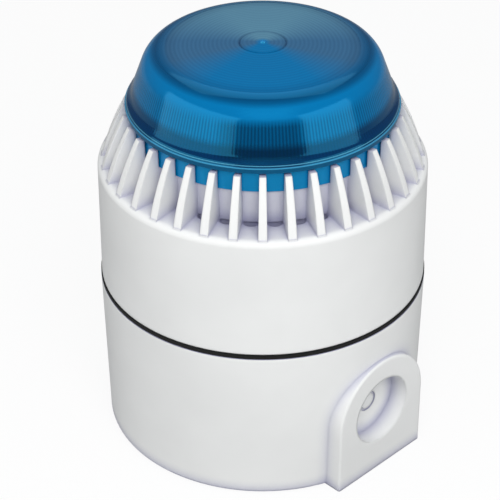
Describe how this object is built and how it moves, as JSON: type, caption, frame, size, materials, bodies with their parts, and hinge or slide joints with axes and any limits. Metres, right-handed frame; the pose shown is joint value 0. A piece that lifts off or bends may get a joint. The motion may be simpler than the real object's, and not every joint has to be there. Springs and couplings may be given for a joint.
{
  "type": "alarm siren",
  "caption": "Round wall alarm sounder on a deep base, with a ring of radial fins over its sound slots and a clear blue beacon lens on top.",
  "frame": {"origin": "centre of the flat wall face of the base", "axes": "+Z away from the wall, out through the beacon lens; +X through the middle of one side cable entry"},
  "size_m": [0.0956, 0.0936, 0.1194],
  "materials": {
    "housing_plastic": "white moulded plastic, fine satin",
    "lens_blue": "clear blue moulded polycarbonate, polished",
    "seal_rubber": "black rubber",
    "terminal_plastic": "green terminal moulding",
    "black_plastic": "black moulded plastic",
    "contact_brass": "rolled brass",
    "screw_steel": "zinc plated steel",
    "board_laminate": "green solder mask",
    "switch_plastic": "red moulded plastic",
    "slider_plastic": "white moulded plastic",
    "control_plastic": "blue moulded plastic",
    "capacitor_sleeve": "dark shrink sleeve",
    "coil_copper": "enamelled copper winding",
    "ceramic": "silvered ceramic",
    "reflector_bright": "bright metallised",
    "tube_glass": "clear glass"
  },
  "bodies": {
    "base": {"base_shell": "housing_plastic", "seam_seal": "seal_rubber", "terminal_carrier": "housing_plastic", "terminal_block": "terminal_plastic", "terminal_clamps": "contact_brass", "terminal_screws": "screw_steel", "contact_block": "black_plastic", "contact_springs": "contact_brass", "carrier_screws": "screw_steel"},
    "head": {"head_housing": "housing_plastic", "back_cover": "housing_plastic", "contact_rails": "contact_brass", "back_cover_screws": "screw_steel", "sounder_board": "board_laminate", "board_screws": "screw_steel", "tone_switch_body": "switch_plastic", "volume_body": "control_plastic", "supply_capacitors": "capacitor_sleeve", "boost_coil": "coil_copper", "controller_chip": "black_plastic", "board_chips": "black_plastic", "link_board": "board_laminate", "sound_baffle": "black_plastic", "baffle_screws": "screw_steel", "driver_cup": "black_plastic", "piezo_plate": "contact_brass", "piezo_ceramic": "ceramic", "driver_clamp_ring": "black_plastic", "beacon_lens": "lens_blue", "lens_seal": "seal_rubber", "beacon_board": "board_laminate", "reflector": "reflector_bright", "flash_tube": "tube_glass", "tube_sockets": "black_plastic", "flash_capacitor": "capacitor_sleeve", "trigger_coil": "coil_copper"},
    "volume_knob": {"volume_rotor": "slider_plastic"},
    "tone_1": {"tone_slider_1": "slider_plastic"},
    "tone_2": {"tone_slider_2": "slider_plastic"},
    "tone_3": {"tone_slider_3": "slider_plastic"},
    "tone_4": {"tone_slider_4": "slider_plastic"},
    "tone_5": {"tone_slider_5": "slider_plastic"}
  },
  "joints": [
    {"name": "head_twist", "type": "hinge", "parent": "base", "child": "head", "pos_m": [0, 0, 0.045], "axis": [0, 0, 1], "range_deg": [0, 25]},
    {"name": "volume_turn", "type": "hinge", "parent": "head", "child": "volume_knob", "pos_m": [0.018, 0, 0.052], "axis": [0, 0, 1], "range_deg": [-135, 135]},
    {"name": "tone_slide_1", "type": "slide", "parent": "head", "child": "tone_1", "axis": [1, 0, 0], "range_m": [0, 0.0018]},
    {"name": "tone_slide_2", "type": "slide", "parent": "head", "child": "tone_2", "axis": [1, 0, 0], "range_m": [0, 0.0018]},
    {"name": "tone_slide_3", "type": "slide", "parent": "head", "child": "tone_3", "axis": [1, 0, 0], "range_m": [0, 0.0018]},
    {"name": "tone_slide_4", "type": "slide", "parent": "head", "child": "tone_4", "axis": [1, 0, 0], "range_m": [0, 0.0018]},
    {"name": "tone_slide_5", "type": "slide", "parent": "head", "child": "tone_5", "axis": [1, 0, 0], "range_m": [0, 0.0018]}
  ]
}
